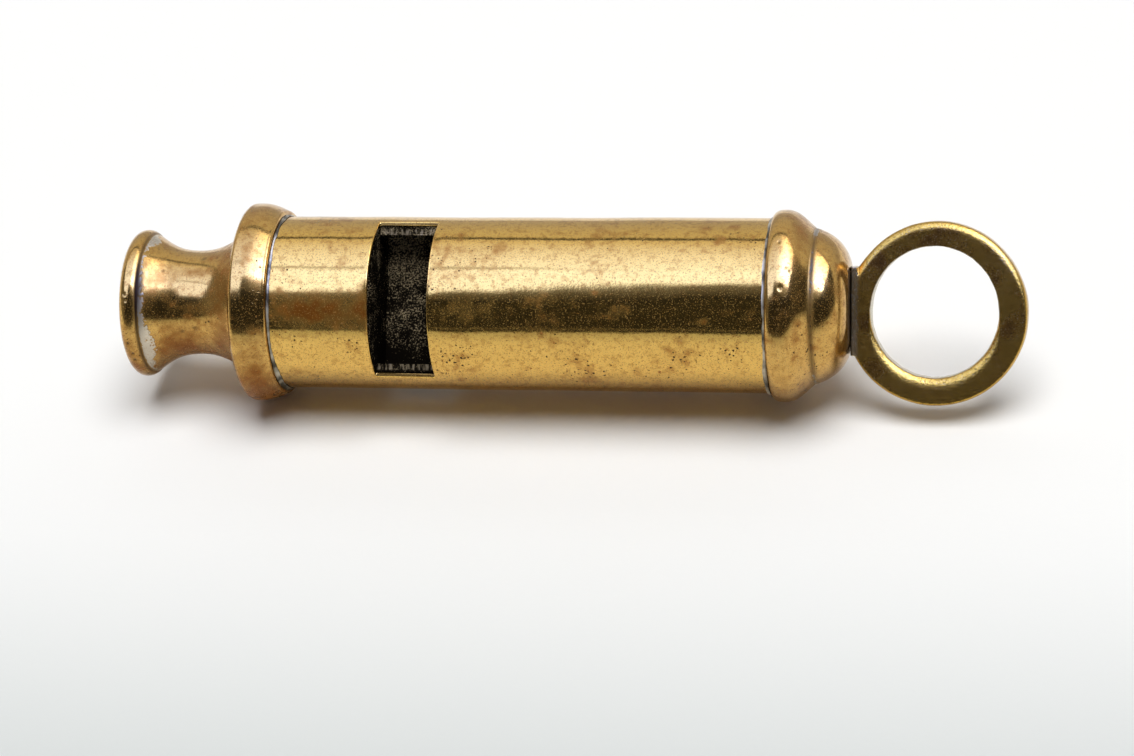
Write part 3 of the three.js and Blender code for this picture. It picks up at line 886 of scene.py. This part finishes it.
class WHISTLE_OT_cap(bpy.types.Operator):
    """Make the spun cap: beaded rim, crease and domed shoulder"""

    bl_idname = "whistle.cap"
    bl_label = "Cap"

    def execute(self, context):
        size = values("cap")
        barrel = values("barrel")
        socket = barrel.diameter / 2 + barrel.clearance
        hole = values("ring").shank / 2 + barrel.clearance
        bead, rim = size.bead / 2, size.rim / 2
        crease, end = size.crease / 2, size.end / 2
        total = CAP_END - CAP_RIM
        fall = size.crease_at - size.bead_at
        dome = total - size.crease_at
        hollow = crease - size.wall
        inner_end = total - size.end_wall
        ease = HOLLOW_EASE * size.wall
        quarter = np.linspace(-math.pi / 2, 0, CURVE_STEPS)
        rim_round = np.stack(
            [size.bead_at * (1 + np.sin(quarter)), rim + (bead - rim) * np.cos(quarter)], axis=1
        )
        shown = np.concatenate([
            straight((0, socket), (0, rim), step=0.1 * MM),
            rim_round,
            curve(
                (size.bead_at, bead), (size.bead_at + BEAD_LEAD * fall, bead),
                (size.bead_at + BEAD_TAIL * fall, crease + BEAD_SWELL * (bead - crease)),
                (size.crease_at, crease), steps=BEAD_STEPS,
            ),
            curve(
                (size.crease_at, crease),
                (size.crease_at + SHOULDER_LEAD * dome, crease - SHOULDER_LEAN * dome),
                (total - DOME_TAIL * dome, end + DOME_SWELL * (crease - end)), (total, end), steps=NECK_STEPS,
            ),
        ])
        hidden = np.concatenate([
            straight((total, end), (total, hole), (inner_end, hole), (inner_end, end - size.wall)),
            curve((inner_end, end - size.wall), (inner_end - ease, hollow - ease), (size.crease_at, hollow)),
            straight((size.crease_at, hollow), (size.socket, hollow), (size.socket, socket), (0, socket)),
        ])
        points = closed(shown, hidden)
        stations, radii, turns = turned_grid(points)
        # The first points on the flat end still count as shown
        end_points = 12
        inner = (np.arange(len(points)) >= len(shown) + end_points)[:, None]
        # Dents in the bead: station, turn, reach along, reach round, depth
        dents = (
            (1.05, 73, 0.12, 1.0, 0.07), (1.85, 56, 0.12, 0.9, 0.06), (2.15, 54, 0.1, 0.8, 0.05),
            (1.4, 43, 0.16, 1.3, 0.11), (1.2, 150, 0.16, 1.5, 0.08), (1.6, 232, 0.16, 1.4, 0.08),
        )
        depth = np.where(inner, 0, spots(stations, turns, dents) * MM)
        grid = around(CAP_RIM + stations, radii - depth, turns)
        # Dirt and painted shade darken the crease, more where the shoulder's highlight begins, and traces of
        # nickel follow it
        line = np.exp(-((stations - size.crease_at - 0.2 * MM) / (0.26 * MM)) ** 2)
        shaded = line * (0.6 + spots(0, turns, ((0, 62, 1, 26, 0.3),)))
        plated = spots(0, turns, (
            (0, 106, 1, 18, 0.8), (0, 58, 1, 24, 0.5), (0, -46, 1, 26, 0.55), (0, 170, 1, 40, 0.5),
        ))
        toned = 0.14 + spots(stations, turns, (
            (2.6, 75, 0.9, 60, 0.35), (1.0, -35, 1.0, 30, 0.35), (6.2, 40, 0.9, 60, 0.3),
            (3.0, 190, 2.0, 60, 0.4), (5.0, 260, 1.5, 30, 0.4),
        ))
        pitted = spots(stations, turns, (
            (2.9, -12, 1.2, 22, 0.4), (4.8, -8, 1.0, 22, 0.4), (1.2, 22, 0.8, 10, 0.2),
        ))
        marks = spots(stations, turns, [(*dent[:4], 0.7) for dent in dents])
        brass = polished_brass("spun_brass_cap", values("colours").bronze, 0.13, 0.06)
        add_turned("cap_spun", grid, brass, "cap", {
            "nickel": np.where(inner, 0, plated * line),
            "pitted": np.where(inner, 0, pitted),
            "toned": np.where(inner, 0.9, toned),
            "grime_and_shade": np.where(inner, 0.8, shaded + 0.9 * (radii < 0.95 * end) + marks),
        })
        return {"FINISHED"}


class WHISTLE_OT_ring(bpy.types.Operator):
    """Make the cast hanging ring with its foot and riveted shank"""

    bl_idname = "whistle.ring"
    bl_label = "Hanging ring"

    def execute(self, context):
        size = values("ring")
        eye, outer = size.eye / 2, size.eye / 2 + size.band
        centre = size.seat + outer - size.sink
        half = size.thickness / 2

        def hole_at(turns):
            """Radius of the eye, which was cast a little narrow along the whistle."""
            return eye - 0.7 * size.swell * np.cos(turns) ** 2

        # The ring lies in its own frame in millimetres: X out of the cap, Y up, Z square to the ring.
        # Wear has rounded the eye below and the band above more than the rest.
        turns = np.linspace(0, 2 * math.pi, RING_STEPS, endpoint=False)
        up = np.sin(turns)
        inner_round = size.edge * (0.04 + 2.3 * step_up(-up, -0.1, 0.9))
        outer_round = size.edge * (0.4 + 1.3 * step_up(up, -0.3, 0.8))
        depth = 1.2 * size.edge
        rim = outer - size.shrink * lobe(turns, 142, 38)
        rim = rim + size.swell * lobe(turns, -65, 75)
        hole = hole_at(turns)
        quarter = np.linspace(0, math.pi / 2, ROUND_STEPS)[:, None]
        sweep, rise = np.cos(quarter), np.sin(quarter)
        radii = np.concatenate([
            rim - outer_round * (1 - sweep), hole + inner_round * (1 - rise),
            hole + inner_round * (1 - sweep), rim - outer_round * (1 - rise),
        ])
        sides = np.concatenate([
            half - depth * (1 - rise), half - depth * (1 - sweep),
            depth * (1 - rise) - half, depth * (1 - sweep) - half,
        ])
        band = np.stack([
            centre + radii * np.cos(turns), radii * up - size.offset, np.broadcast_to(sides, radii.shape),
        ], axis=-1) / MM
        work = bmesh.new()
        points = [work.verts.new(p) for p in band.reshape(-1, 3)]
        for quad in turned_faces(len(radii), len(turns)):
            work.faces.new([points[i] for i in quad])
        bmesh.ops.recalc_face_normals(work, faces=work.faces)
        # What lies behind the seat is cut away flat
        cut = bmesh.ops.bisect_plane(
            work, geom=work.verts[:] + work.edges[:] + work.faces[:],
            plane_co=(size.seat / MM, 0, 0), plane_no=(1, 0, 0), clear_inner=True,
        )
        edges = [e for e in cut["geom_cut"] if isinstance(e, bmesh.types.BMEdge)]
        bmesh.ops.holes_fill(work, edges=edges)
        foot = Matrix.Translation(
            ((size.seat + size.foot_thickness / 2) / MM, -size.offset / MM, 0)
        ) @ Matrix.Diagonal((size.foot_thickness / MM, size.foot / MM, size.thickness / MM, 1))
        bmesh.ops.create_cube(work, size=1, matrix=foot)
        on_axis = Matrix.Rotation(math.pi / 2, 4, "Y")
        for diameter, start, end in (
            (size.shank, -size.head_at, size.seat + size.foot_thickness / 2),
            (size.head, -size.head_at - size.head_thickness, -size.head_at),
        ):
            radius = diameter / 2 / MM
            middle = Matrix.Translation(((start + end) / 2 / MM, 0, 0))
            bmesh.ops.create_cone(
                work, cap_ends=True, segments=SHANK_SIDES, radius1=radius, radius2=radius,
                depth=(end - start) / MM, matrix=middle @ on_axis,
            )
        rough_cast = bpy.data.meshes.new("ring_parts")
        work.to_mesh(rough_cast)
        work.free()
        pattern = add_object("ring_parts", rough_cast)
        fuse = pattern.modifiers.new("Fuse", "REMESH")
        fuse.mode = "VOXEL"
        fuse.voxel_size = size.grain / MM
        smooth = pattern.modifiers.new("Soften", "SMOOTH")
        smooth.factor = 0.5
        smooth.iterations = 2
        cast = bpy.data.meshes.new_from_object(pattern.evaluated_get(context.evaluated_depsgraph_get()))
        bpy.data.objects.remove(pattern)
        cast.name = "ring_cast"

        local, normals = np.zeros((2, len(cast.vertices) * 3))
        cast.vertices.foreach_get("co", local)
        cast.vertices.foreach_get("normal", normals)
        local, normals = local.reshape(-1, 3), normals.reshape(-1, 3)
        out, height = local[:, 0] - centre / MM, local[:, 1] + size.offset / MM
        inward = np.hypot(out, height)
        bearing = np.arctan2(height, out)
        past = inward - hole_at(bearing) / MM
        inside = 1 - step_up(past, 0.02, 0.3)
        patch = 0.35 * lobe(bearing, 40, 26) * step_up(inward, 7.0, 7.6)
        plated = 1 - step_up(past, 0.02, 0.14)
        foot_face = size.foot_thickness / MM
        seat = 1 - step_up(local[:, 0], foot_face - 0.1, foot_face + 0.4)
        handled = 1 - 0.4 * lobe(bearing, -80, 45)
        masks = {
            "toned": np.maximum(step_up(np.abs(normals[:, 2]), 0.93, 0.99) * handled, 0.28),
            "nickel": 0.62 * seat + patch + plated,
            # The back of the foot and the shank, in the gap against the cap, are painted dark as shade
            "grime_and_shade": 1 - step_up(local[:, 0], 0.08, 0.22),
        }
        # File marks in the eye and the unevenness of the casting elsewhere
        uneven = rough(local, 0.7) * 0.035 * inside + rough(local, 2.5) * 0.03 * (1 - inside)
        local += normals * uneven[:, None]
        cast.vertices.foreach_set("co", local.ravel())
        cast.transform(
            Matrix.Translation((LIP_END + CAP_END, 0, AXIS_HEIGHT))
            @ Matrix.Rotation(math.pi / 2 - size.tilt, 4, "X") @ Matrix.Scale(MM, 4)
        )
        cast.update()
        add_piece("ring_cast", cast, cast_brass("cast_brass_ring"), "ring", masks)
        return {"FINISHED"}


class WHISTLE_OT_stage(bpy.types.Operator):
    """Make the floor, the softbox, the world and the camera"""

    bl_idname = "whistle.stage"
    bl_label = "Stage"

    def execute(self, context):
        scene = context.scene
        stage = values("stage")
        tint = values("colours")
        scene.view_settings.view_transform = "Standard"

        # Matt white vinyl: even and pale, with an embossed grain of about 0.6 mm, and painted shade that
        # greys it near the viewer where the light falls off
        vinyl, tree, place = new_material("matt_white_vinyl")
        depth = add_node(tree, "SeparateXYZ", (place,), "Y")
        front = add_node(tree, "MapRange", (depth, -12 * MM, -75 * MM), interpolation_type="SMOOTHSTEP")
        # The floor is painted dark from 105 to 145 mm in front onwards for the metal's rays only, a painted
        # reflection of the dark room
        brink = add_node(tree, "MapRange", (depth, -105 * MM, -145 * MM))
        mirrored = add_node(tree, "LightPath", out="Is Glossy Ray")
        painted_dark_reflection = add_node(tree, "Math", (brink, mirrored), operation="MULTIPLY")
        films = ((front, tint.floor_front_shade), (painted_dark_reflection, DARK_ROOM_REFLECTION))
        emboss = add_node(tree, "TexNoise", {"Vector": place, "Scale": 1 / (0.6 * MM), "Detail": 3.0})
        surface = add_node(tree, "BsdfPrincipled", {
            "Base Color": add_chain(tree, tuple(tint.floor), films, **FILMS),
            "Roughness": 0.9,
            "Specular IOR Level": 0.0,
            "Normal": add_node(tree, "Bump", {"Height": emboss, "Distance": 0.02 * MM}),
        })
        add_node(tree, "OutputMaterial", (surface,))
        ends = (-FLOOR_HALF, FLOOR_HALF)
        self.sheet("floor", [(x, y, -0.01) for y in ends for x in ends], 2, vinyl)

        # Softbox overhead for the metal to mirror: brightest in front and to the right, with a fold across
        # its left half and a dim skirt before its front edge
        glow, tree, place = new_material("softbox_cloth")
        axes = add_node(tree, "SeparateXYZ", (place,)).node.outputs
        fade = add_node(tree, "Attribute", out="Fac", attribute_name="fade")
        front = add_node(tree, "MapRange", (axes["Y"], 175 * MM, -90 * MM, 0.0, 1.0))
        right = add_node(tree, "MapRange", (axes["X"], 0.0, 160 * MM, 1.0, 3.4))
        cool = add_node(tree, "Math", (front, fade), operation="MULTIPLY")
        dim = [c * stage.light_rear for c in tint.cloth_rear]
        cloth = add_chain(tree, dim, [(cool, [c * stage.light for c in tint.cloth])], **FILMS)
        strength = add_node(tree, "Math", (right, fade), operation="MULTIPLY")
        add_node(tree, "OutputMaterial", (add_node(tree, "Emission", (cloth, strength)),))
        # Front edge, and rows of corners: share of that edge, offset, brightness
        edge = ((-420, -310), (-125, -282), (-95, -272), (-66, -222), (-44, -172), (420, -160))
        rows = (
            (0, 208, 1.0), (0, -43, 1.0), (0, -55, 0.35), (0, -67, 1.0), (1, 20, 1.0), (1, -14, 0.16),
            (1, -160, 0.0),
        )
        fold_end = -60
        height = stage.light_height / MM
        corners = [(x, share * y + offset, height) for share, offset, level in rows for x, y in edge]
        softbox = self.sheet("softbox", corners, len(edge), glow)
        layer = softbox.data.attributes.new("fade", "FLOAT", "POINT")
        layer.data.foreach_set("value", [
            level if share or x < fold_end else 1.0 for share, offset, level in rows for x, y in edge
        ])
        softbox.visible_camera = False
        softbox.visible_diffuse = False
        softbox.visible_shadow = False

        # Broad light from above and a little in front, which the metal doesn't mirror
        lamp = bpy.data.lights.new("fill", "SUN")
        lamp.energy = stage.fill
        lamp.angle = FILL_SPREAD
        fill = add_object("fill", lamp)
        fill.rotation_mode = "QUATERNION"
        fill.rotation_quaternion = Vector(FILL_WAY).to_track_quat("-Z", "Y")
        fill.visible_glossy = False

        # World: white behind, grey walls to the rear and to the left for the metal to mirror, and a dark
        # room in front
        world = bpy.data.worlds.new("studio")
        scene.world = world
        world.use_nodes = True
        tree = world.node_tree
        tree.nodes.clear()
        way = add_node(tree, "TexCoord", out="Generated")
        axes = add_node(tree, "SeparateXYZ", (way,)).node.outputs
        height = add_node(tree, "Math", (axes["Z"], axes["Y"]), operation="ARCTAN2")
        strength = add_node(tree, "MapRange", (height, math.radians(49.0), math.radians(49.5), 0.72, 0.0))
        climb = add_node(tree, "MapRange", (height, math.radians(12), math.radians(46), 0.75, 1.1))
        left = add_node(tree, "MapRange", (axes["X"], -0.5, -0.8, 0.0, 0.2))
        seen = add_node(tree, "LightPath", out="Is Camera Ray")
        for value, operation in (
            (climb, "MULTIPLY"), (left, "MAXIMUM"), (0.03, "MAXIMUM"), (seen, "MAXIMUM"),
        ):
            strength = add_node(tree, "Math", (strength, value), operation=operation)
        add_node(tree, "OutputWorld", (add_node(tree, "Background", (WHITE, strength)),))

        lens = bpy.data.cameras.new("camera")
        lens.lens = stage.lens
        lens.sensor_width = SENSOR_WIDTH
        camera = add_object("camera", lens)
        flat = math.cos(stage.elevation)
        back = Vector((
            math.sin(stage.azimuth) * flat, -math.cos(stage.azimuth) * flat, math.sin(stage.elevation)
        ))
        camera.location = Vector((0, 0, AXIS_HEIGHT)) + back * stage.distance
        look = Vector((stage.aim_x, stage.aim_y, AXIS_HEIGHT)) - camera.location
        camera.rotation_mode = "QUATERNION"
        camera.rotation_quaternion = look.to_track_quat("-Z", "Y") @ Quaternion((0, 0, 1), stage.roll)
        scene.camera = camera
        return {"FINISHED"}

    def sheet(self, name, corners, columns, material):
        """A flat sheet of the stage, from rows of corners in millimetres."""
        points = np.array(corners) * MM
        faces = []
        for i in range(len(corners) - columns):
            if i % columns < columns - 1:
                faces.append((i, i + 1, i + 1 + columns, i + columns))
        mesh = bpy.data.meshes.new(name)
        mesh.from_pydata(points.tolist(), [], faces)
        mesh.materials.append(material)
        sheet = add_object(name, mesh)
        return sheet


OPERATORS = (
    WHISTLE_OT_mouthpiece, WHISTLE_OT_barrel, WHISTLE_OT_voice, WHISTLE_OT_seams, WHISTLE_OT_cap,
    WHISTLE_OT_ring, WHISTLE_OT_stage,
)


class WHISTLE_PT_panel(bpy.types.Panel):
    """Sizes, colours and the buttons that build the whistle"""

    bl_idname = "WHISTLE_PT_panel"
    bl_label = "Brass whistle"
    bl_space_type = "VIEW_3D"
    bl_region_type = "UI"
    bl_category = "Whistle"

    def draw(self, context):
        for operator in OPERATORS:
            self.layout.operator(operator.bl_idname)
        for name in GROUPS:
            box = self.layout.box()
            box.label(text=name.capitalize())
            group = values(name)
            for key in group.__annotations__:
                box.prop(group, key)


def register():
    """Registers the classes and puts the property groups on the scene."""
    for cls in (*GROUPS.values(), *OPERATORS, WHISTLE_PT_panel):
        bpy.utils.register_class(cls)
    for name, group in GROUPS.items():
        setattr(bpy.types.Scene, "whistle_" + name, bpy.props.PointerProperty(type=group))


def unregister():
    """Takes back what register() did."""
    for name in GROUPS:
        delattr(bpy.types.Scene, "whistle_" + name)
    for cls in reversed((*GROUPS.values(), *OPERATORS, WHISTLE_PT_panel)):
        bpy.utils.unregister_class(cls)


def main():
    """Builds the whole scene."""
    register()
    for operator in OPERATORS:
        group, name = operator.bl_idname.split(".")
        getattr(getattr(bpy.ops, group), name)()


if __name__ == "__main__":
    main()
